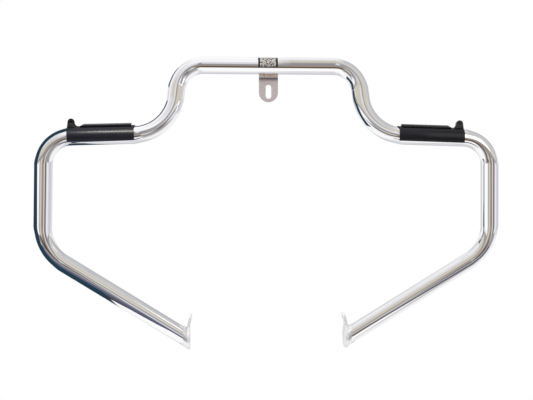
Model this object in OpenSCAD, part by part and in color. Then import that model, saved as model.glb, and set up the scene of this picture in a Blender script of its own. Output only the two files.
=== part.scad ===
// Motorcycle crash bar: one bent chrome tube with a slotted tab at the middle of its top bar,
// a holed plate welded on each foot and a rubber foot pad on each shoulder.
// Millimetres. Z is up, X runs across the motorcycle and -Y is the front.
// The origin is the centre of the tab's slot, on the tab's rear face.

/* [Tube] */
// Outside diameter of the tube
tube_od = 31.75; // [28:0.05:35]
// Wall thickness of the tube
tube_wall = 2.5; // [1.5:0.1:4]
// Centre line radius of the upper bends and the outer corners
tight_bend_r = 50; // [42:1:58]
// Centre line radius of the lower neck bends and the knees
wide_bend_r = 80; // [64:1:90]
// Amount that bending takes off each side of the tube
bend_thin = 0.4; // [0.3:0.05:0.6]

/* [Bar shape] */
// Half length of the top bar, from its middle to the corner of the centre line
top_half = 162; // [140:1:190]
// Half distance between the lower corners of the necks
neck_half = 177; // [160:1:200]
// Drop of the necks below the top bar
neck_drop = 127; // [118:1:160]
// Distance that the necks reach forward
neck_reach = 16; // [0:1:40]
// Half distance between the outer corners
shoulder_half = 394; // [370:1:430]
// Drop of the outer corners below the top bar
shoulder_drop = 136; // [120:1:160]
// Distance that the outer corners reach forward
shoulder_reach = 48; // [10:1:80]
// Half distance between the knees
knee_half = 402; // [380:1:430]
// Drop of the knees below the top bar
knee_drop = 333; // [300:1:380]
// Distance that the knees reach forward
knee_reach = 22; // [0:1:60]
// Half distance between the outer faces of the two foot plates
foot_half = 150; // [120:1:180]
// Drop of the feet below the top bar
foot_drop = 503; // [470:1:540]
// Distance of the feet behind the top bar
foot_back = 46; // [0:1:90]

/* [Centre tab] */
// Width of the tab
tab_w = 35; // [30:0.5:45]
// Thickness of the tab
tab_t = 4; // [3:0.5:6]
// Drop of the slot's centre below the top bar
tab_drop = 46; // [44:0.5:60]
// Distance of the tab's rear face behind the top bar's centre line
tab_back = 12; // [10:0.5:16]
// Drop of the crease in the tab below the top bar
tab_crease = 20.4; // [19.8:0.1:24]
// Angle of the crease in the tab
tab_angle = 45; // [35:1:55]
// Width of the slot
slot_w = 10.5; // [8:0.5:13]
// Length of the slot from end to end
slot_len = 26; // [20:0.5:32]
// Distance from the slot's centre to the tab's lower end
tab_tail = 19; // [18:0.5:26]

/* [Foot plates] */
// Thickness of the plates
plate_t = 5; // [4:0.5:8]
// Radius of the round part that closes the tube
plate_r = 21.5; // [20:0.5:26]
// Height of that round part's centre above the tube's axis
plate_lift = 1.5; // [0:0.5:4]
// Radius of the ear's end
ear_r = 10; // [8:0.5:12]
// Height of the ear's crease above the tube's axis
ear_crease = 25; // [24:0.5:32]
// Lean of the ear toward the middle
ear_lean = 13; // [5:1:25]
// Distance from the crease to the hole in the ear
ear_reach = 10; // [6:0.5:16]
// Diameter of the hole in the ear
ear_hole_d = 9; // [6:0.5:11]

/* [Foot pads] */
// Length of a pad along the tube
pad_len = 115; // [90:1:120]
// Wall thickness of a pad
pad_wall = 1.8; // [1.5:0.1:4]
// Clearance between a pad and the tube
pad_gap = 0.2; // [0.1:0.05:0.5]
// Angle that a pad's lower edges reach below the tube's middle
pad_wrap = 34; // [10:1:40]
// Distance from the left shoulder's middle out to its pad's middle
left_pad_shift = 3.8; // [-5:0.1:5]
// Distance from the right shoulder's middle out to its pad's middle
right_pad_shift = -3.8; // [-5:0.1:5]
// Height of the tread above the tube
tread_rise = 4.8; // [4:0.1:8]
// Width of the tread
tread_w = 20; // [12:1:24]
// Length of the tread's flat top
tread_len = 82; // [60:1:84]
// Height of the stop ear above the tube
stop_rise = 15; // [12:0.1:18]
// Radius of the stop ear's top
stop_r = 6; // [4.5:0.1:7]
// Thickness of the stop ear from front to back
stop_t = 12; // [8:1:18]
// Diameter of the blind hole in each face of the stop ear
stop_hole_d = 3.6; // [2:0.1:5]
// Depth of each blind hole
stop_hole_depth = 4; // [2:0.5:5]

/* [Hidden] */

chrome = [0.80, 0.80, 0.83];
dull_steel = [0.72, 0.68, 0.68];
black_rubber = [0.10, 0.10, 0.11];

$fn = 96;
hull_fn = 32;

tube_r = tube_od / 2;
bore_r = tube_r - tube_wall;

// Corners of the right half's centre line, from the middle of the top bar down to the foot
corners = [
    [0, 0, 0],
    [top_half, 0, 0],
    [neck_half, -neck_reach, -neck_drop],
    [shoulder_half, -shoulder_reach, -shoulder_drop],
    [knee_half, -knee_reach, -knee_drop],
    [foot_half, foot_back, -foot_drop]
];
bend_r = [0, tight_bend_r, wide_bend_r, tight_bend_r, wide_bend_r, 0];
neck = 2;
knee = 4;
foot = corners[5];

// Where the middle of the top bar lies, seen from the slot's centre
bar_middle = [0, -tab_back, tab_drop];

// Direction of the straight that follows corner i
function unit(v) = v / norm(v);
function heading(i) = unit(corners[i + 1] - corners[i]);
// Angle turned at corner i, and the length of each straight that the bend there takes away
function turn(i) = acos(heading(i - 1) * heading(i));
function setback(i) = bend_r[i] == 0 ? 0 : bend_r[i] * tan(turn(i) / 2);
function straight(i) = norm(corners[i + 1] - corners[i]) - setback(i) - (i < knee ? setback(i + 1) : 0);
// Part of v that stands square to direction d
function square_part(v, d) = unit(v - (v * d) * d);
// Angle about the tube's axis from the plane of bend i - 1 to the plane of bend i
function twist(i) =
    let (
        d = heading(i - 1),
        was = square_part(-heading(i - 2), d),
        next = square_part(heading(i), d)
    )
    atan2(cross(was, next) * d, was * next);
first_plane = square_part(heading(1), heading(0));
first_roll = atan2(first_plane.y, -first_plane.z);

// Distance that a bend reaches into the straights beside it
bend_overlap = 0.5;

// The tube overshoots the foot, and is then cut to the plate's plane
foot_overshoot = tube_od;
foot_cut = 2 * tube_od;

shoulder_turn = [0, -asin(heading(neck).z), atan2(heading(neck).y, heading(neck).x)];
shoulder_middle = corners[neck] + heading(neck) * (setback(neck) + straight(neck) / 2);

tab_inner_bend_r = 3;
tab_bend_steps = 10;
weld_gap = 0.05;
tab_weld_r = 2.4;
tab_weld_out = 1.2;
tab_weld_down = 0.8;

ear_bend_r = 5;
ear_fillet_r = 4;
plate_weld_w = 7;
plate_weld_edge = 1;
weld_skin = 0.4;

pad_r = tube_r + pad_gap + pad_wall;
pad_bore_thin = 0.1;
lip_len = 4.5;
lip_r = 7;
tread_t = 2.2;
tread_undercut = 2.5;
tread_start = 3;
tread_ramp = 7;
ramp_foot = 1;
stop_end = 2.5;
stop_back = stop_r + stop_end;
stop_slope = 8;
stop_flare = 3;

// A bend from the Z axis over toward X, thinner than the straights beside it and reaching into both
module bend(i, r, thin) {
    spare = asin(bend_overlap / bend_r[i]);
    translate([bend_r[i], 0, 0])
        rotate([0, -spare, 0])
            rotate([90, 0, 180])
                rotate_extrude(angle = turn(i) + 2 * spare)
                    translate([bend_r[i], 0])
                        circle(r = r - thin);
}

// Children stand where bend i ends
module after_bend(i) {
    translate([bend_r[i], 0, 0])
        rotate([0, turn(i), 0])
            translate([-bend_r[i], 0, 0])
                children();
}

// Everything from bend i to the foot: a bend, its straight, then the next bend turned into its own plane
module arm(i, r, thin) {
    bend(i, r, thin);
    after_bend(i) {
        cylinder(r = r, h = straight(i) + (i == knee ? foot_overshoot : 0));
        if (i < knee)
            translate([0, 0, straight(i)])
                rotate([0, 0, twist(i + 1)])
                    arm(i + 1, r, thin);
    }
}

module right_arm(r, thin) {
    translate([straight(0), 0, 0])
        rotate([first_roll, 0, 0])
            rotate([0, 90, 0])
                arm(1, r, thin);
}

module both_sides() {
    children();
    mirror([1, 0, 0]) children();
}

// Turns the X axis along a straight and the Z axis as near upright as it can be
module along_shoulder() {
    translate(shoulder_middle) rotate(shoulder_turn) children();
}

// Extrudes a shape drawn in Y and Z along X
module extrude_x(h) {
    rotate([90, 0, 90]) linear_extrude(h) children();
}

// Extrudes a shape drawn in X and Z along Y, equally to both sides
module extrude_y(h) {
    rotate([90, 0, 0]) linear_extrude(h, center = true) children();
}

// A solid rod of radius r along the whole centre line
module bar_rod(r) {
    translate([-straight(0), 0, 0]) extrude_x(2 * straight(0)) circle(r = r);
    both_sides() right_arm(r, bend_thin);
}

module main_tube() {
    color(chrome)
        translate(bar_middle)
            difference() {
                union() bar_rod(tube_r);
                union() bar_rod(bore_r);
                translate([-foot_half, foot_back - foot_cut, -foot_drop - foot_cut])
                    cube([2 * foot_half, 2 * foot_cut, 2 * foot_cut]);
            }
}

// Section of the tab in Y and Z: an upright leg, the crease and a leg that slants up to the tube
module tab_section() {
    crease = [tab_back - tab_t - tab_inner_bend_r, -tab_crease - tab_inner_bend_r * tan(tab_angle / 2)];
    steps = [for (i = [0:tab_bend_steps]) tab_angle * i / tab_bend_steps];
    along = tube_r * [-sin(tab_angle), cos(tab_angle)];
    inner = [for (a = steps) crease + tab_inner_bend_r * [cos(a), sin(a)]];
    outer = [for (a = steps) crease + (tab_inner_bend_r + tab_t) * [cos(a), sin(a)]];
    polygon(concat(
        [[tab_back - tab_t, -tab_drop - tab_tail]],
        inner,
        [inner[tab_bend_steps] + along, outer[tab_bend_steps] + along],
        [for (i = [0:tab_bend_steps]) outer[tab_bend_steps - i]],
        [[tab_back, -tab_drop - tab_tail]]
    ));
}

// Outline of the tab in X and Z, with its round end and its slot
module tab_outline() {
    end_z = -tab_drop - tab_tail + tab_w / 2;
    slot_half = (slot_len - slot_w) / 2;
    difference() {
        union() {
            translate([0, end_z]) circle(d = tab_w);
            translate([-tab_w / 2, end_z]) square([tab_w, -end_z]);
        }
        translate([-slot_w / 2, -tab_drop - slot_half]) square([slot_w, 2 * slot_half]);
        for (side = [-1, 1]) translate([0, -tab_drop + side * slot_half]) circle(d = slot_w);
    }
}

module tab_body() {
    intersection() {
        translate([-tab_w / 2, 0, 0]) extrude_x(tab_w) tab_section();
        extrude_y(2 * tube_od) tab_outline();
    }
}

module top_bar(r) {
    translate([-tab_w, 0, 0]) extrude_x(2 * tab_w) circle(r = r);
}

module center_tab() {
    color(dull_steel)
        translate(bar_middle)
            difference() {
                tab_body();
                top_bar(tube_r);
            }
}

// A round bead along X between the tube and one face of the tab
module tab_bead(place) {
    color(chrome)
        translate(bar_middle)
            difference() {
                translate(place) {
                    extrude_x(tab_w - 2 * tab_weld_r) circle(r = tab_weld_r);
                    for (end = [0, tab_w - 2 * tab_weld_r]) translate([end, 0, 0]) sphere(r = tab_weld_r);
                }
                top_bar(tube_r + weld_gap);
                tab_body();
            }
}

// Where the slanting leg's two faces meet the tube, in Y and Z
function tab_meets(offset) =
    let (
        line = (tab_back - tab_t - tab_inner_bend_r) * cos(tab_angle)
            + (-tab_crease - tab_inner_bend_r * tan(tab_angle / 2)) * sin(tab_angle)
            + tab_inner_bend_r + offset,
        run = -sqrt(tube_r * tube_r - line * line)
    )
    [line * cos(tab_angle) - run * sin(tab_angle), line * sin(tab_angle) + run * cos(tab_angle)];
bead_x = -tab_w / 2 + tab_weld_r;

module tab_weld_front() {
    at = tab_meets(0);
    tab_bead([bead_x, at.x - tab_weld_out, at.y - tab_weld_down]);
}

module tab_weld_rear() {
    at = tab_meets(tab_t);
    tab_bead([bead_x, at.x + tab_weld_out, at.y]);
}

// Lower part of a foot plate in Y and Z: the round part and the start of the ear, filleted together
module plate_outline() {
    fillet_y = ear_r + ear_fillet_r;
    fillet_z = plate_lift + sqrt(pow(plate_r + ear_fillet_r, 2) - fillet_y * fillet_y);
    difference() {
        union() {
            translate([0, plate_lift]) circle(r = plate_r);
            translate([-ear_r, 0]) square([2 * ear_r, ear_crease]);
            translate([-fillet_y, plate_lift]) square([2 * fillet_y, fillet_z - plate_lift]);
        }
        for (side = [-1, 1]) translate([side * fillet_y, fillet_z]) circle(r = ear_fillet_r);
    }
}

// The ear beyond its crease, with its hole
module ear_outline() {
    difference() {
        union() {
            translate([-ear_r, 0]) square([2 * ear_r, ear_reach]);
            translate([0, ear_reach]) circle(r = ear_r);
        }
        translate([0, ear_reach]) circle(d = ear_hole_d);
    }
}

// Right foot plate, with its outer face in the plane where the tube is cut
module foot_plate() {
    translate(bar_middle + foot) {
        translate([-plate_t, 0, 0]) extrude_x(plate_t) plate_outline();
        translate([-plate_t - ear_bend_r, 0, ear_crease]) {
            rotate([90, 0, 0])
                rotate_extrude(angle = ear_lean)
                    translate([ear_bend_r, -ear_r])
                        square([plate_t, 2 * ear_r]);
            rotate([0, -ear_lean, 0])
                translate([ear_bend_r, 0, 0])
                    extrude_x(plate_t)
                        ear_outline();
        }
    }
}

module left_foot_plate() {
    color(chrome) mirror([1, 0, 0]) foot_plate();
}

module right_foot_plate() {
    color(chrome) foot_plate();
}

// Children stand on the right leg's centre line at the foot, with Z up the leg
module up_leg() {
    d = -heading(knee);
    translate(foot) rotate([0, acos(d.z), atan2(d.y, d.x)]) children();
}

// A slice of a cylinder along the leg, cut parallel to the plate at a distance from it
module leg_slice(r, distance) {
    intersection() {
        up_leg() cylinder(r = r, h = 4 * tube_od, center = true, $fn = hull_fn);
        translate([foot_half + distance, foot_back - foot_cut, -foot_drop - foot_cut])
            cube([weld_skin, 2 * foot_cut, 2 * foot_cut]);
    }
}

// The fillet weld around the right foot, from a round toe on the plate to the tube's skin
module plate_weld() {
    translate(bar_middle)
        difference() {
            hull() {
                translate(foot + [0, 0, plate_lift])
                    extrude_x(weld_skin)
                        circle(r = plate_r - plate_weld_edge, $fn = hull_fn);
                leg_slice(tube_r + weld_skin, plate_weld_w);
            }
            up_leg() cylinder(r = tube_r + weld_gap, h = 4 * tube_od, center = true);
        }
}

module left_plate_weld() {
    color(chrome) mirror([1, 0, 0]) plate_weld();
}

module right_plate_weld() {
    color(chrome) plate_weld();
}

// Section of a pad in Y and Z, before the tube is taken out of it: open below its lower edges
module pad_section() {
    reach = 2 * pad_r;
    difference() {
        circle(r = pad_r);
        polygon([
            [0, 0],
            [reach * cos(pad_wrap), -reach * sin(pad_wrap)],
            [0, -2 * reach],
            [-reach * cos(pad_wrap), -reach * sin(pad_wrap)]
        ]);
    }
}

// Profile of the tread in X and Z, with a ramp down to the pad at its outer end
module tread_profile() {
    top = tube_r + tread_rise;
    start = tread_start - pad_len / 2;
    polygon([
        [start, top - tread_t],
        [start, top],
        [start + tread_len, top],
        [start + tread_len + tread_ramp, tube_r + ramp_foot],
        [start + tread_len, tube_r + ramp_foot],
        [start + tread_len, top - tread_t]
    ]);
}

// Outline of the stop ear in X and Z: a round top on two flanks, with a flare at the inner one's foot
module stop_outline() {
    centre = [pad_len / 2 - stop_back, tube_r + stop_rise - stop_r];
    left = centre + stop_r * [-cos(stop_slope), sin(stop_slope)];
    right = centre + stop_r * [cos(stop_slope), sin(stop_slope)];
    flare_x = left.x - (left.y - pad_r - stop_flare) * tan(stop_slope);
    translate(centre) circle(r = stop_r);
    polygon([
        left,
        centre,
        right,
        right + (right.y - tube_r) * [tan(stop_slope), -1],
        [flare_x - stop_flare, tube_r],
        [flare_x - stop_flare, pad_r],
        [flare_x, pad_r + stop_flare]
    ]);
}

// Slants the top of the pad's outer end in line with the stop ear's outer flank
module end_cut() {
    end = pad_len / 2;
    drop = (stop_end + stop_r * (1 - cos(stop_slope))) / tan(stop_slope);
    low = tube_r + stop_rise - stop_r + stop_r * sin(stop_slope) - drop;
    polygon([
        [end, low],
        [end - (2 * pad_r - low) * tan(stop_slope), 2 * pad_r],
        [end + pad_r, 2 * pad_r],
        [end + pad_r, low]
    ]);
}

// Lengthens the pad at its inner end, where the top flares into a thin lip
module lip_cut() {
    end = -pad_len / 2;
    translate([end - 2 * pad_r, -2 * pad_r]) square([2 * pad_r, 3 * pad_r - lip_r]);
    translate([end - lip_r, pad_r - lip_r]) circle(r = lip_r);
}

// A blind hole in one face of the stop ear
module stop_hole(side) {
    translate([pad_len / 2 - stop_back, side * stop_t / 2, tube_r + stop_rise - stop_r])
        extrude_y(2 * stop_hole_depth)
            circle(d = stop_hole_d);
}

// Right foot pad: a C section clipped over the tube, with a raised tread and a stop ear
module foot_pad(shift) {
    translate(bar_middle)
        difference() {
            along_shoulder() translate([shift, 0, 0])
                difference() {
                    union() {
                        translate([-pad_len / 2 - lip_len, 0, 0])
                            extrude_x(pad_len + lip_len)
                                pad_section();
                        extrude_y(tread_w) tread_profile();
                        translate([tread_start - pad_len / 2, tread_undercut - tread_w / 2, 0])
                            cube([tread_len, tread_w - 2 * tread_undercut, tube_r + tread_rise - tread_t]);
                        extrude_y(stop_t) stop_outline();
                    }
                    extrude_y(4 * pad_r) lip_cut();
                    extrude_y(4 * pad_r) end_cut();
                    for (side = [-1, 1]) stop_hole(side);
                }
            right_arm(tube_r + pad_gap, pad_bore_thin);
        }
}

module left_foot_pad() {
    color(black_rubber) mirror([1, 0, 0]) foot_pad(left_pad_shift);
}

module right_foot_pad() {
    color(black_rubber) foot_pad(right_pad_shift);
}

main_tube();
center_tab();
tab_weld_front();
tab_weld_rear();
left_foot_plate();
right_foot_plate();
left_plate_weld();
right_plate_weld();
left_foot_pad();
right_foot_pad();
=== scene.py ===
"""Chrome motorcycle crash bar with rubber foot pads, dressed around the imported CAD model.

Metres, in the row frame: Z up, X across the motorcycle, -Y toward the viewer.
"""

import math

import bmesh
import bpy
from mathutils import Matrix, Vector


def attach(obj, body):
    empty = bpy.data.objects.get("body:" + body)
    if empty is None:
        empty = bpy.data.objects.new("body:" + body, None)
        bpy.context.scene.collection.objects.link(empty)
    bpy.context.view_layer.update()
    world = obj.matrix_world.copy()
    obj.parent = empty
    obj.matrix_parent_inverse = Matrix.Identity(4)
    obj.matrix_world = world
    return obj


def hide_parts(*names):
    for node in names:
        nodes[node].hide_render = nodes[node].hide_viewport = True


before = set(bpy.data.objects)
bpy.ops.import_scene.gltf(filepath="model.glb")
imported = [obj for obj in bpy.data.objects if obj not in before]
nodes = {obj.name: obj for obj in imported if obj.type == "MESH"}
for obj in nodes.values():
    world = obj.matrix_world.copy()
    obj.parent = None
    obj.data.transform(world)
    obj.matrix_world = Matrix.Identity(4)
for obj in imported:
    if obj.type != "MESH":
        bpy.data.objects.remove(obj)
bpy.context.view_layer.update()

MM = 0.001
TUBE_R = 15.875         # millimetres, like every size below that isn't a lamp's or the camera's

# Centre line of the right half in millimetres, from the middle of the top bar to the foot
MIDDLE = Vector((0.0, -12.0, 46.0))
CORNERS = [Vector(c) for c in (
    (0, 0, 0), (162, 0, 0), (177, -16, -127), (394, -48, -136), (402, -22, -333), (150, 46, -503))]
BEND_R = [0, 50, 80, 50, 80, 0]
FOOT_X = 150.0


# ---------------------------------------------------------------- helpers

def srgb(r, g, b):
    """Linear colour of an sRGB colour given from 0 to 255."""
    def lin(c):
        c /= 255
        return c / 12.92 if c <= 0.04045 else ((c + 0.055) / 1.055) ** 2.4
    return (lin(r), lin(g), lin(b), 1.0)


def new_mesh(name, verts, faces, smooth=True):
    """A mesh object in metres from points in millimetres."""
    mesh = bpy.data.meshes.new(name)
    mesh.from_pydata([[c * MM for c in v] for v in verts], [], faces)
    mesh.validate()
    mesh.update()
    mesh.polygons.foreach_set("use_smooth", [smooth] * len(mesh.polygons))
    obj = bpy.data.objects.new(name, mesh)
    bpy.context.scene.collection.objects.link(obj)
    return obj


class Tree:
    """Short calls for building one node tree."""

    def __init__(self, tree):
        self.tree = tree

    def node(self, kind, **values):
        n = self.tree.nodes.new(kind)
        for key, value in values.items():
            if hasattr(n, key):
                setattr(n, key, value)
            else:
                n.inputs[key.replace("_", " ")].default_value = value
        return n

    def link(self, a, b):
        self.tree.links.new(a, b)

    def math(self, op, a, b=None, c=None, clamp=False):
        n = self.node("ShaderNodeMath", operation=op, use_clamp=clamp)
        for i, v in enumerate((a, b, c)):
            if v is None:
                continue
            if isinstance(v, (int, float)):
                n.inputs[i].default_value = v
            else:
                self.link(v, n.inputs[i])
        return n.outputs[0]

    def ramp(self, value, stops, low=0.0, high=1.0):
        """Colour by value, with stops given as (value, (r, g, b)) between low and high."""
        n = self.node("ShaderNodeValToRGB")
        scaled = self.node("ShaderNodeMapRange")
        scaled.inputs["From Min"].default_value = low
        scaled.inputs["From Max"].default_value = high
        self.link(value, scaled.inputs["Value"])
        self.link(scaled.outputs[0], n.inputs["Fac"])
        els = n.color_ramp.elements
        while len(els) < len(stops):
            els.new(0.5)
        for e, (at, colour) in zip(els, sorted(stops, key=lambda s: s[0])):
            e.position = (at - low) / (high - low)
            e.color = srgb(*colour)
        return n.outputs["Color"]

    def mix(self, fac, a, b, mode="MIX"):
        n = self.node("ShaderNodeMix", data_type="RGBA", blend_type=mode)
        for socket, v in ((n.inputs[0], fac), (n.inputs[6], a), (n.inputs[7], b)):
            if isinstance(v, (int, float, tuple)):
                socket.default_value = v
            else:
                self.link(v, socket)
        return n.outputs[2]

    def here(self):
        """The place on the object, in metres."""
        return self.node("ShaderNodeTexCoord").outputs["Object"]

    def noise(self, where, scale, detail=2.0):
        """Cloudy values about 0.5."""
        n = self.node("ShaderNodeTexNoise", Scale=scale, Detail=detail)
        self.link(where, n.inputs["Vector"])
        return n.outputs["Fac"]

    def bump(self, height, strength, distance, under=None):
        """A normal shaped by height, on top of the normal under."""
        n = self.node("ShaderNodeBump", Strength=strength, Distance=distance)
        self.link(height, n.inputs["Height"])
        if under:
            self.link(under, n.inputs["Normal"])
        return n.outputs["Normal"]

    def parts(self, where):
        """X, Y and Z of a place or direction."""
        n = self.node("ShaderNodeSeparateXYZ")
        self.link(where, n.inputs[0])
        return n.outputs


def material(name):
    """A material, its node tree and its surface shader."""
    mat = bpy.data.materials.new(name)
    mat.use_nodes = True
    t = Tree(mat.node_tree)
    return mat, t, mat.node_tree.nodes["Principled BSDF"]


def paint(obj, mat):
    """Gives every slot of obj the material."""
    if not obj.data.materials:
        obj.data.materials.append(mat)
    for i in range(len(obj.data.materials)):
        obj.data.materials[i] = mat


def round_edges(obj, width):
    """Joins the CAD faces' edges and rounds the sharp ones."""
    weld = obj.modifiers.new("weld", "WELD")
    weld.merge_threshold = 1e-6
    bevel = obj.modifiers.new("bevel", "BEVEL")
    bevel.width = width * MM
    bevel.segments = 3
    bevel.limit_method = "ANGLE"
    bevel.angle_limit = math.radians(35)
    obj.data.polygons.foreach_set("use_smooth", [True] * len(obj.data.polygons))


def face_outward(obj):
    """Makes the faces of a closed mesh point outward."""
    bm = bmesh.new()
    bm.from_mesh(obj.data)
    bmesh.ops.recalc_face_normals(bm, faces=bm.faces)
    bm.to_mesh(obj.data)
    bm.free()


# ---------------------------------------------------------------- materials

def chrome(name, colour, rough=0.018, wave=0.02, grain=0.0, metal=1.0):
    """Polished chrome plate: a faint waviness from polishing, and a little haze that varies."""
    mat, t, bsdf = material(name)
    bsdf.inputs["Metallic"].default_value = metal
    bsdf.inputs["Roughness"].default_value = rough
    where = t.here()
    darker = tuple(c * 0.985 for c in colour[:3]) + (1.0,)
    t.link(t.mix(t.noise(where, 35.0, 3.0), darker, colour), bsdf.inputs["Base Color"])
    haze = t.noise(where, 180.0, 4.0)
    t.link(t.math("MULTIPLY_ADD", haze, rough * 0.7, rough * 0.65), bsdf.inputs["Roughness"])
    normal = t.bump(t.noise(where, 22.0), wave, 0.002)
    if grain:
        normal = t.bump(t.noise(where, 900.0, 5.0), grain, 0.0004, under=normal)
    t.link(normal, bsdf.inputs["Normal"])
    return mat


# Painted light and shade down the tab, by height in metres: darker from the slot up to a painted
# shade line under the crease, bright on the strip above it and painted shade at the weld under the
# tube
TAB_PAINTED_SHADE = [(0.018, (255, 255, 255)), (0.0215, (205, 203, 203)), (0.0232, (150, 148, 150)),
             (0.0245, (140, 138, 140)), (0.0262, (238, 240, 243)), (0.030, (250, 252, 255)),
             (0.0318, (190, 188, 186))]


def dull_steel(name):
    """Dull plated steel with a fine blasted grain and a warm cast, and painted shade at the crease
    and under the tube.
    """
    mat, t, bsdf = material(name)
    bsdf.inputs["Metallic"].default_value = 0.35
    bsdf.inputs["Roughness"].default_value = 0.5
    where = t.here()
    base = t.mix(t.noise(where, 60.0, 4.0), srgb(196, 186, 185), srgb(208, 198, 198))
    speck = t.noise(where, 900.0, 3.0)
    dots = t.ramp(speck, [(0.3, (170, 160, 158)), (0.45, (255, 255, 255))])
    speckled = t.mix(0.5, base, dots, "MULTIPLY")
    # Painted shade by height: a dark line under the crease and a darker top under the tube
    painted_shade = t.ramp(t.parts(where)[2], TAB_PAINTED_SHADE, 0.015, 0.034)
    t.link(t.mix(1.0, speckled, painted_shade, "MULTIPLY"), bsdf.inputs["Base Color"])
    t.link(t.bump(speck, 0.25, 0.0002), bsdf.inputs["Normal"])
    return mat


def raw_weld(name):
    """A plated weld bead with burnt brown and blue specks."""
    mat, t, bsdf = material(name)
    bsdf.inputs["Metallic"].default_value = 0.5
    bsdf.inputs["Roughness"].default_value = 0.42
    specks = t.noise(t.here(), 420.0, 3.0)
    burnt = t.ramp(specks, [(0.36, (112, 96, 88)), (0.44, (196, 172, 142)), (0.5, (214, 206, 196)),
                            (0.56, (196, 150, 112)), (0.64, (222, 222, 226))])
    t.link(burnt, bsdf.inputs["Base Color"])
    t.link(t.bump(specks, 0.5, 0.0006), bsdf.inputs["Normal"])
    return mat


# The pads in metres: how far their axis falls for each metre out, its drop at the middle of the
# bar, how far both pads sit to the left, and where the tread ends
SHOULDER_SLOPE, SHOULDER_DROP, PAD_SHIFT, TREAD_END = 0.0415, 0.07365, 0.0045, 0.3335
# The height above that axis where the groove turns into the tread
TREAD_FOOT = 0.0172


def rubber(name):
    """Black moulded rubber: a soft sheen, fine skin texture, painted shade from the groove up and a
    tread painted lighter where light falls on it from above.
    """
    mat, t, bsdf = material(name)
    bsdf.inputs["Specular IOR Level"].default_value = 0.32
    where = t.here()
    cloud = t.noise(where, 45.0, 5.0)
    x, y, z = t.parts(where)
    along = t.math("ABSOLUTE", t.math("ADD", x, PAD_SHIFT))
    drop = t.math("ADD", t.math("MULTIPLY", along, SHOULDER_SLOPE), SHOULDER_DROP)
    above = t.math("ADD", z, drop)
    # Painted shade: darker from the groove under the tread upward, where the undercut's shadow
    # falls
    groove = t.ramp(above, [(0.0128, (255, 255, 255)), (0.0142, (150, 150, 150)),
                            (TREAD_FOOT, (150, 150, 150))], 0.01, 0.02)
    skin = t.mix(1.0, t.mix(cloud, srgb(9, 10, 18), srgb(19, 20, 29)), groove, "MULTIPLY")
    # Painted light: the tread's top is painted a lighter grey where light falls on it from above
    raised = t.math("MULTIPLY", t.math("SUBTRACT", above, TREAD_FOOT), 1500.0, clamp=True)
    tread = t.math("MULTIPLY", raised, t.math("LESS_THAN", along, TREAD_END))
    t.link(t.mix(tread, skin, srgb(76, 76, 79)), bsdf.inputs["Base Color"])
    rough = t.node("ShaderNodeMapRange")
    t.link(cloud, rough.inputs["Value"])
    rough.inputs["To Min"].default_value = 0.26
    rough.inputs["To Max"].default_value = 0.34
    t.link(rough.outputs[0], bsdf.inputs["Roughness"])
    t.link(t.bump(t.noise(where, 700.0, 4.0), 0.05, 0.0003), bsdf.inputs["Normal"])
    return mat


tube_chrome = chrome("tube_chrome", srgb(254, 254, 255))
plate_chrome = chrome("plate_chrome", srgb(250, 250, 251), rough=0.3, wave=0.04, grain=0.04,
                      metal=0.45)
weld_chrome = chrome("weld_chrome", srgb(248, 248, 250), rough=0.12, wave=0.05, grain=0.2,
                     metal=0.7)
tab_steel = dull_steel("tab_steel")
bead_steel = raw_weld("tab_bead_steel")
pad_rubber = rubber("pad_rubber")


# ---------------------------------------------------------------- the bent tube

SEGMENTS = 80
STRAIGHT_STEP = 12     # millimetres between rings along the straights, and about 1 in a bend
PINCH_OUT = 0.075      # share of the radius that a bend loses on its outer side
PINCH_IN = 0.03        # and on its inner side
BULGE = 0.03           # and gains across
PINCH_RUN = 14.0       # millimetres over which the press marks fade at a bend's ends
WRINKLE = 0.0015       # share of the radius that the former's ripples take inside a bend
WRINKLE_STEP = 4.2     # millimetres from ripple to ripple


def unit(v):
    return v / v.length


def centre_line():
    """Stations from the top bar's middle to the right foot.

    Each has its place and direction, and in a bend the way outward, the bend's axis, how much of
    the press marks it has and how far round the bend it lies.
    """
    out = []
    here = CORNERS[0]
    for i in range(1, len(CORNERS)):
        d0 = unit(CORNERS[i] - CORNERS[i - 1])
        if i == len(CORNERS) - 1:
            end = CORNERS[i]
            steps = max(2, int((end - here).length / STRAIGHT_STEP))
            for k in range(1, steps + 1):
                out.append((here.lerp(end, k / steps), d0, None, None, 0.0, 0.0))
            break
        d1 = unit(CORNERS[i + 1] - CORNERS[i])
        turn = math.acos(d0.dot(d1))
        r = BEND_R[i]
        start = CORNERS[i] - d0 * r * math.tan(turn / 2)
        steps = max(2, int((start - here).length / STRAIGHT_STEP))
        for k in range(0 if i == 1 else 1, steps):
            out.append((here.lerp(start, k / steps), d0, None, None, 0.0, 0.0))
        c = unit(d1 - d0 * d0.dot(d1))
        axis = d0.cross(c)
        arc = turn * r
        steps = int(arc)
        for k in range(steps + 1):
            a = turn * k / steps
            s = a * r
            place = start + d0 * (r * math.sin(a)) + c * (r * (1 - math.cos(a)))
            outward = d0 * math.sin(a) - c * math.cos(a)
            tangent = d0 * math.cos(a) + c * math.sin(a)
            edge = min(s, arc - s) / PINCH_RUN
            strength = min(1.0, max(0.0, edge))
            strength = strength * strength * (3 - 2 * strength)
            out.append((place, tangent, outward, axis, strength, s))
        here = place
    return out


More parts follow.
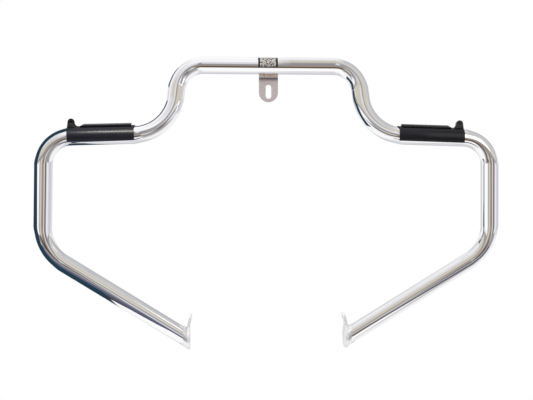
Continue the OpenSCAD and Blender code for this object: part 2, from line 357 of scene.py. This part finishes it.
def tube_ring(station, u, v):
    """One ring of the tube about a station, in the carried frame u, v."""
    place, tangent, outward, axis, strength, s = station
    ring = []
    for j in range(SEGMENTS):
        a = 2 * math.pi * j / SEGMENTS
        w = u * math.cos(a) + v * math.sin(a)
        offset = w * TUBE_R
        if strength > 0:
            e, b = w.dot(outward), w.dot(axis)
            if e > 0:
                loss = PINCH_OUT * e ** 1.5
            else:
                loss = PINCH_IN * abs(e)
                ripple = 0.5 + 0.5 * math.cos(2 * math.pi * s / WRINKLE_STEP)
                loss += WRINKLE * ripple * max(0.0, -e) ** 6
            offset = offset - outward * (TUBE_R * strength * loss * (1 if e > 0 else -1))
            offset = offset + axis * (TUBE_R * strength * BULGE * b)
        ring.append(place + offset)
    return ring


def build_tube():
    """The whole bar: the right half's rings and their mirror images, closed at the feet."""
    half = centre_line()
    rings = []
    tangent = half[0][1]
    u = Vector((0, 0, 1))
    for station in half:
        turned = tangent.rotation_difference(station[1])
        u = unit(turned @ u)
        tangent = station[1]
        u = unit(u - tangent * u.dot(tangent))
        rings.append(tube_ring(station, u, tangent.cross(u)))
    last = half[-1][1]
    rings[-1] = [p + last * ((FOOT_X - p.x) / last.x) for p in rings[-1]]
    mirrored = [[Vector((-p.x, p.y, p.z)) for p in ring] for ring in rings]
    whole = mirrored[::-1] + rings[1:]
    verts = [p + MIDDLE for ring in whole for p in ring]
    faces = []
    n = SEGMENTS
    for i in range(len(whole) - 1):
        for j in range(n):
            k = (j + 1) % n
            faces.append((i * n + j, i * n + k, (i + 1) * n + k, (i + 1) * n + j))
    faces.append(tuple(range(n))[::-1])
    faces.append(tuple((len(whole) - 1) * n + j for j in range(n)))
    tube = new_mesh("bent_tube", verts, faces)
    for flat_end in list(tube.data.polygons)[-2:]:
        flat_end.use_smooth = False
    face_outward(tube)
    return tube


tube = build_tube()
paint(tube, tube_chrome)
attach(tube, "root")
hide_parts("main_tube")


# ---------------------------------------------------------------- plates, welds, tab and pads

for side in ("left", "right"):
    plate = nodes[side + "_foot_plate"]
    paint(plate, plate_chrome)
    round_edges(plate, 0.6)
    weld = nodes[side + "_plate_weld"]
    paint(weld, weld_chrome)
    pad = nodes[side + "_foot_pad"]
    paint(pad, pad_rubber)
    round_edges(pad, 0.45)

tab = nodes["center_tab"]
paint(tab, tab_steel)
round_edges(tab, 0.5)
for name in ("tab_weld_front", "tab_weld_rear"):
    paint(nodes[name], bead_steel)


# ---------------------------------------------------------------- blank label on the top bar

def curved_patch(name, x0, x1, a0, a1, r0, r1, columns=24, rows=24):
    """A thin closed plate wrapped on the top bar between two angles, measured up from the front."""
    verts, faces = [], []
    for r in (r0, r1):
        for i in range(rows + 1):
            a = math.radians(a0 + (a1 - a0) * i / rows)
            for j in range(columns + 1):
                x = x0 + (x1 - x0) * j / columns
                verts.append(MIDDLE + Vector((x, -r * math.cos(a), r * math.sin(a))))
    w = columns + 1
    layer = (rows + 1) * w
    for i in range(rows):
        for j in range(columns):
            a, b, c, d = i * w + j, i * w + j + 1, (i + 1) * w + j + 1, (i + 1) * w + j
            faces.append((d, c, b, a))
            faces.append((layer + a, layer + b, layer + c, layer + d))
    for j in range(columns):
        faces.append((j, j + 1, layer + j + 1, layer + j))
        top = rows * w + j
        faces.append((top + 1, top, layer + top, layer + top + 1))
    for i in range(rows):
        a, b = i * w, (i + 1) * w
        faces.append((b, a, layer + a, layer + b))
        a, b = i * w + columns, (i + 1) * w + columns
        faces.append((a, b, layer + b, layer + a))
    return new_mesh(name, verts, faces)


frame_black, t, bsdf = material("label_black")
bsdf.inputs["Roughness"].default_value = 0.45
t.link(t.mix(t.noise(t.here(), 500.0), srgb(24, 22, 22), srgb(44, 40, 40)),
       bsdf.inputs["Base Color"])

face_silver, t, bsdf = material("label_silver")
bsdf.inputs["Metallic"].default_value = 0.6
bsdf.inputs["Roughness"].default_value = 0.38
mottle = t.ramp(t.noise(t.here(), 420.0, 3.0),
                [(0.38, (92, 86, 84)), (0.47, (160, 153, 148)), (0.6, (240, 236, 230))])
t.link(mottle, bsdf.inputs["Base Color"])

LABEL_LOW, LABEL_HIGH = -22.0, 53.0                        # degrees up from the front
LABEL_X, LABEL_HALF, INLAY_HALF = -2.2, 17.9, 14.4         # middle and half widths
label = curved_patch("label_plate", LABEL_X - LABEL_HALF, LABEL_X + LABEL_HALF,
                     LABEL_LOW, LABEL_HIGH, TUBE_R + 0.02, TUBE_R + 0.32)
inlay = curved_patch("label_inlay", LABEL_X - INLAY_HALF, LABEL_X + INLAY_HALF,
                     LABEL_LOW + 7, LABEL_HIGH - 4, TUBE_R + 0.30, TUBE_R + 0.40)
for obj, mat in ((label, frame_black), (inlay, face_silver)):
    face_outward(obj)
    paint(obj, mat)
    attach(obj, "root")


# ---------------------------------------------------------------- camera

# Fitted to the photograph: place in metres, angles in radians, and focal length in pixels
CAM_AT = (-0.0946176, -1.45389341, -0.20992846)
CAM_YAW, CAM_PITCH, CAM_ROLL = 0.0623886794, -0.00749566185, -0.00189661993
CAM_FOCAL_PX = 792.079851
PHOTO_WIDTH_PX = 533
SENSOR_WIDTH = 36.0

cy, sy = math.cos(CAM_YAW), math.sin(CAM_YAW)
cp, sp = math.cos(CAM_PITCH), math.sin(CAM_PITCH)
cr, sr = math.cos(CAM_ROLL), math.sin(CAM_ROLL)
turn = (Matrix(((cr, 0, sr), (0, 1, 0), (-sr, 0, cr)))
        @ Matrix(((1, 0, 0), (0, cp, -sp), (0, sp, cp)))
        @ Matrix(((cy, -sy, 0), (sy, cy, 0), (0, 0, 1))))
right, ahead, up = (Vector(row) for row in turn)
cam_data = bpy.data.cameras.new("camera")
cam_data.sensor_width = SENSOR_WIDTH
cam_data.lens = CAM_FOCAL_PX * SENSOR_WIDTH / PHOTO_WIDTH_PX
cam_data.clip_start = 0.05
camera = bpy.data.objects.new("camera", cam_data)
pose = Matrix((right, up, -ahead)).transposed().to_4x4()
pose.translation = Vector(CAM_AT)
camera.matrix_world = pose
bpy.context.scene.collection.objects.link(camera)
bpy.context.scene.camera = camera


# ---------------------------------------------------------------- studio

scene = bpy.context.scene
scene.view_settings.view_transform = "Standard"

world = bpy.data.worlds.new("studio")
world.use_nodes = True
scene.world = world
t = Tree(world.node_tree)
background = world.node_tree.nodes["Background"]
x, y, z = t.parts(t.node("ShaderNodeTexCoord").outputs["Generated"])
front = t.math("MULTIPLY", y, -1.0)
DEG = 180 / math.pi
rise = t.math("MULTIPLY", t.math("ARCTAN2", z, front), DEG)
swing = t.math("MULTIPLY", t.math("ARCTAN2", x, front), DEG)

# The studio's surfaces: white sheets, pale walls, a sand coloured wall, and dark gaps
WHITE, PAPER, MIST, SILVER = (254, 254, 254), (243, 243, 244), (222, 222, 226), (196, 197, 200)
STONE, ASH, SAND, CLAY = (172, 168, 168), (144, 142, 146), (206, 199, 184), (156, 144, 132)
ROSE, UMBER, SLATE, LILAC = (168, 146, 152), (84, 66, 56), (134, 146, 164), (206, 203, 222)
INDIGO, TEAL, IRON = (88, 94, 120), (36, 60, 76), (114, 110, 108)

# What lies around a level tube, by the angle up from the front: -90 is the floor, 90 the
# ceiling and 180 behind. The first is for the right half of the room, the second for the left.
LEVEL = [(-180, PAPER), (-146, SILVER), (-108, MIST), (-86, MIST), (-74, WHITE), (-42, WHITE),
         (-37, CLAY), (-32, UMBER), (-25, UMBER), (-15, CLAY), (-6, CLAY), (4, ASH), (22, ASH),
         (32, STONE), (46, SAND), (60, SAND), (76, MIST), (100, PAPER), (180, PAPER)]
LEVEL_LEFT = [(-180, PAPER), (-146, SILVER), (-114, MIST), (-94, PAPER), (-78, WHITE),
              (-42, WHITE), (-37, CLAY), (-32, UMBER), (-24, UMBER), (-15, CLAY), (4, ASH),
              (11, SILVER), (20, MIST), (32, MIST), (44, WHITE), (66, PAPER), (92, WHITE),
              (180, PAPER)]
# What the sloping legs reflect, by the same angle: the left leg faces right, the right one left
LEG_LEFT = [(-180, PAPER), (-90, PAPER), (-60, STONE), (-40, ASH), (-26, STONE), (-17, IRON),
            (-11, SILVER), (-5, IRON), (-1, SILVER), (3, IRON), (7, SILVER), (11, PAPER),
            (15, SAND), (48, SAND), (56, MIST), (64, SILVER), (92, SILVER), (118, SILVER),
            (144, STONE), (158, MIST), (180, PAPER)]
LEG_RIGHT = [(-180, PAPER), (-62, WHITE), (-50, MIST), (-38, ASH), (-26, UMBER), (-16, CLAY),
             (-4, ASH), (2, STONE), (8, SAND), (32, SAND), (42, MIST), (62, MIST), (76, PAPER),
             (112, PAPER), (138, SILVER), (160, PAPER), (180, PAPER)]
# What lies around an upright tube, by the angle to the right of the front
ROUND = [(-180, MIST), (-150, SILVER), (-124, PAPER), (-92, PAPER), (-72, WHITE), (-46, WHITE),
         (-41, MIST), (-36, SLATE), (-31, STONE), (-25, SAND), (-12, SAND), (-5, STONE),
         (2, CLAY), (9, ASH), (13, SAND), (20, MIST), (26, SILVER), (31, CLAY), (36, UMBER),
         (40, UMBER), (45, ROSE), (50, SILVER), (60, PAPER), (86, LILAC), (106, SILVER),
         (130, MIST), (180, MIST)]


def fade(value, start, slope):
    """0 up to start, then up to 1 over 1 / slope."""
    return t.math("MULTIPLY", t.math("SUBTRACT", value, start), slope, clamp=True)


def by_angle(angle, stops):
    return t.ramp(angle, stops, -180, 180)


level = t.mix(fade(x, 0.06, 30.0), by_angle(rise, LEVEL_LEFT), by_angle(rise, LEVEL))
level = t.mix(fade(t.math("MULTIPLY", x, -1.0), 0.2, 6.0), level, by_angle(rise, LEG_RIGHT))
level = t.mix(fade(x, 0.22, 6.0), level, by_angle(rise, LEG_LEFT))
# The belt of the room that the upright tubes reflect. They lean back a little, and so does it.
LEAN_Y, LEAN_Z, BELT_AT = 0.131, 0.99, 0.137
lean = t.math("SUBTRACT", t.math("MULTIPLY", y, LEAN_Y), t.math("MULTIPLY", z, LEAN_Z))
off_belt = t.math("ABSOLUTE", t.math("SUBTRACT", lean, BELT_AT))
belt = t.math("SUBTRACT", 2.2, t.math("MULTIPLY", off_belt, 14.0), clamp=True)
beside = fade(t.math("ABSOLUTE", t.math("SUBTRACT", x, 0.06)), 0.16, 12.0)
studio = t.mix(t.math("MULTIPLY", belt, beside), level, by_angle(swing, ROUND))
path = t.node("ShaderNodeLightPath")
lit = t.mix(path.outputs["Is Diffuse Ray"], studio, srgb(232, 232, 232))
shown = t.mix(path.outputs["Is Camera Ray"], lit, (1, 1, 1, 1))
t.link(shown, background.inputs["Color"])
background.inputs["Strength"].default_value = 1.0


def dark_sheet(name, points, faces, colours, reach):
    """A glowing sheet that paints the reflection of a dark part of the room, coloured by Y in
    metres.

    Only reflections see it, and only where the reflecting surface is nearer than reach metres.
    """
    sheet = new_mesh(name, points, faces, smooth=False)
    mat = bpy.data.materials.new(name)
    mat.use_nodes = True
    mat.node_tree.nodes.clear()
    t = Tree(mat.node_tree)
    where = t.here()
    shift = t.math("MULTIPLY", t.math("SUBTRACT", t.noise(where, 9.0, 1.0), 0.5), 0.1)
    along = t.math("ADD", t.parts(where)[1], shift)
    glow = t.node("ShaderNodeEmission")
    t.link(t.ramp(along, colours, colours[0][0], colours[-1][0]), glow.inputs["Color"])
    clear = t.node("ShaderNodeBsdfTransparent")
    length = t.node("ShaderNodeLightPath").outputs["Ray Length"]
    choose = t.node("ShaderNodeMixShader")
    t.link(t.math("GREATER_THAN", length, reach), choose.inputs[0])
    t.link(glow.outputs[0], choose.inputs[1])
    t.link(clear.outputs[0], choose.inputs[2])
    out = t.node("ShaderNodeOutputMaterial")
    t.link(choose.outputs[0], out.inputs["Surface"])
    paint(sheet, mat)
    sheet.visible_camera = False
    sheet.visible_diffuse = False
    sheet.visible_shadow = False
    sheet.visible_transmission = False
    sheet.visible_volume_scatter = False


def upright_sheet(name, outline, y0, y1, colours, reach):
    """A sheet that follows an outline in X and Z, from y0 to y1."""
    points = [(px, y, pz) for px, pz in outline for y in (y0, y1)]
    faces = [(2 * i, 2 * i + 1, 2 * i + 3, 2 * i + 2) for i in range(len(outline) - 1)]
    dark_sheet(name, points, faces, colours, reach)


def level_sheet(name, outline, z, colours, reach):
    """A level sheet with its outline in X and Y."""
    points = [(px, py, z) for px, py in outline]
    dark_sheet(name, points, [tuple(range(len(outline)))], colours, reach)


# A painted reflection of the dark end of the room to the left, which only the bar's left side is
# near enough to reflect
upright_sheet("dark_left",
              [(-380, 55), (-430, 30), (-490, -60), (-500, -200), (-490, -330), (-430, -430),
               (-330, -480)],
              -98, 900, [(-0.10, TEAL), (0.2, TEAL), (0.9, INDIGO)], 0.9)
level_sheet("dark_above_left", [(-460, 60), (-215, 60), (-215, 600), (-460, 600)], 110,
            [(0.05, INDIGO), (0.2, TEAL), (0.6, INDIGO)], 0.42)
# Painted reflections of the dark floor beyond the white sheet, in front on the left and on the
# right
level_sheet("dark_floor_left",
            [(-60, -1000), (-60, -215), (-150, -190), (-220, -135), (-310, -95), (-390, -15),
             (-450, 100), (-500, 400), (-1200, 400), (-1200, -1000)], -600,
            [(-0.75, MIST), (-0.45, ASH), (-0.28, INDIGO), (-0.16, INDIGO), (-0.10, UMBER),
             (-0.02, UMBER), (0.05, TEAL), (0.3, TEAL)], 0.62)
level_sheet("dark_floor_right", [(1200, -1000), (1200, -200), (60, -230), (60, -1000)], -600,
            [(-0.75, MIST), (-0.52, SILVER), (-0.42, SLATE), (-0.34, INDIGO), (-0.26, UMBER),
             (-0.20, CLAY)], 0.60)

floor = new_mesh("floor", [(-3000, -3000, -1000), (3000, -3000, -1000), (3000, 1500, -1000),
                           (-3000, 1500, -1000)], [(0, 1, 2, 3)], smooth=False)
floor_mat, t, bsdf = material("floor_white")
bsdf.inputs["Roughness"].default_value = 0.9
speck = t.node("ShaderNodeTexNoise", Scale=3.0)
t.link(t.mix(speck.outputs["Fac"], srgb(244, 244, 244), srgb(250, 250, 250)),
       bsdf.inputs["Base Color"])
paint(floor, floor_mat)
floor.visible_glossy = False


def area_light(name, at, toward, size, power, colour=(1, 1, 1), size_y=None):
    """A lamp with its place and size in metres and its power in watts."""
    data = bpy.data.lights.new(name, "AREA")
    data.shape = "RECTANGLE"
    data.size = size
    data.size_y = size_y or size
    data.energy = power
    data.color = colour
    obj = bpy.data.objects.new(name, data)
    obj.location = at
    aim = Vector(toward) - Vector(at)
    obj.rotation_euler = aim.to_track_quat("-Z", "Y").to_euler()
    scene.collection.objects.link(obj)
    return obj


# A small soft lamp before the right corner, which only reflections see
corner = area_light("corner_light", (0.395, -0.235, -0.013), (0.395, 0, -0.013), 0.25, 0.115,
                    size_y=0.146)
corner.visible_diffuse = False
corner.visible_camera = False

key = area_light("key_light", (-0.5, -1.6, 1.0), (0, 0, -0.1), 1.2, 12.0)
key.visible_glossy = False

# A long strip in front and above gives the left pad its band of sheen
strip = area_light("sheen_strip", (0.25, -1.3, 1.15), (0, 0, -0.09), 1.3, 45.0,
                   (1.0, 0.97, 0.92), 0.04)
glow_group = bpy.data.collections.new("sheen_receivers")
scene.collection.children.link(glow_group)
glow_group.objects.link(nodes["left_foot_pad"])
strip.light_linking.receiver_collection = glow_group
